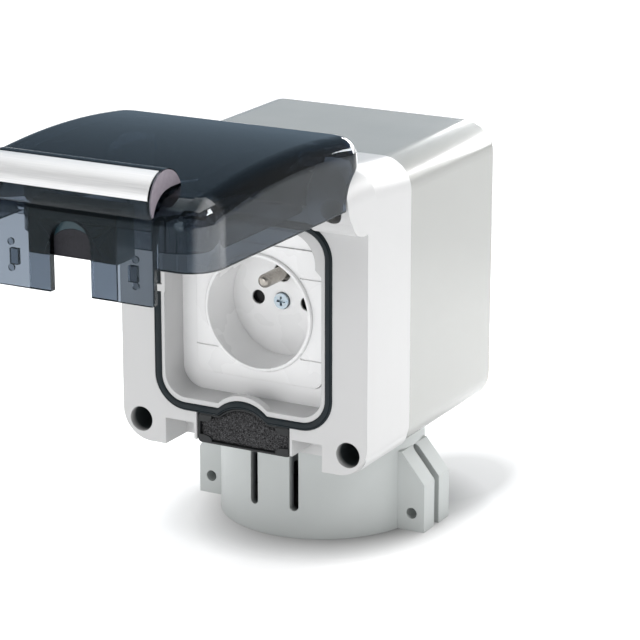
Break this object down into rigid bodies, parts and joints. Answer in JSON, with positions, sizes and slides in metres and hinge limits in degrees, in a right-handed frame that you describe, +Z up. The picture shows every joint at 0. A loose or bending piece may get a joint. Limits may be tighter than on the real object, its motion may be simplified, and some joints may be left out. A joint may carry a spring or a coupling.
{
  "type": "outdoor power socket",
  "caption": "Weatherproof power socket with an earth pin, under a hinged smoked lid, in a deep square box on a split collar that clamps a round pole.",
  "frame": {"origin": "on the pole collar's axis, at the collar's lower edge", "axes": "+Z up along the pole, -Y towards the socket's front, +X to the right seen from the front"},
  "size_m": [0.095, 0.2013, 0.159],
  "materials": {
    "frame_plastic": "satin",
    "box_plastic": "glossy",
    "collar_plastic": "semi-matte",
    "cover_plastic": "satin",
    "inner_plastic": "matte",
    "smoked_plastic": "clear smoked, glossy",
    "dark_plastic": "glossy",
    "silver_strip": "brushed",
    "black_rubber": "matte",
    "grey_rubber": "matte, fine grain",
    "black_sponge": "open-cell sponge",
    "nickel_plate": "nickel-plated",
    "brass": "plain",
    "zinc_steel": "zinc-plated"
  },
  "bodies": {
    "housing": {"front_frame": "frame_plastic", "rear_box": "box_plastic", "pole_collar": "collar_plastic", "adapter_plate": "frame_plastic", "socket_cover": "cover_plastic", "socket_base": "inner_plastic", "lid_gasket": "black_rubber", "foam_holder": "black_rubber", "cable_foam": "black_sponge", "box_gasket": "black_rubber", "cable_grommet": "black_rubber", "earth_pin": "nickel_plate", "live_contact": "brass", "neutral_contact": "brass", "insert_screw": "zinc_steel", "mechanism_screws": "zinc_steel", "bridge_screws": "zinc_steel", "terminal_screws": "zinc_steel", "cover_screws": "zinc_steel", "collar_screws": "zinc_steel", "hinge_pins": "zinc_steel"},
    "lid": {"lid": "smoked_plastic", "grip_strip": "silver_strip", "cable_guard": "dark_plastic", "cable_flap": "grey_rubber"},
    "shutter": {"shutter": "inner_plastic"}
  },
  "joints": [
    {"name": "lid_hinge", "type": "hinge", "parent": "housing", "child": "lid", "pos_m": [0, -0.0588, 0.1309], "axis": [1, 0, 0], "range_deg": [0, 90]},
    {"name": "shutter_slide", "type": "slide", "parent": "housing", "child": "shutter", "axis": [0, 0, -1], "range_m": [0, 0.006], "stiffness_N_per_m": 40, "springref_m": -0.004}
  ]
}
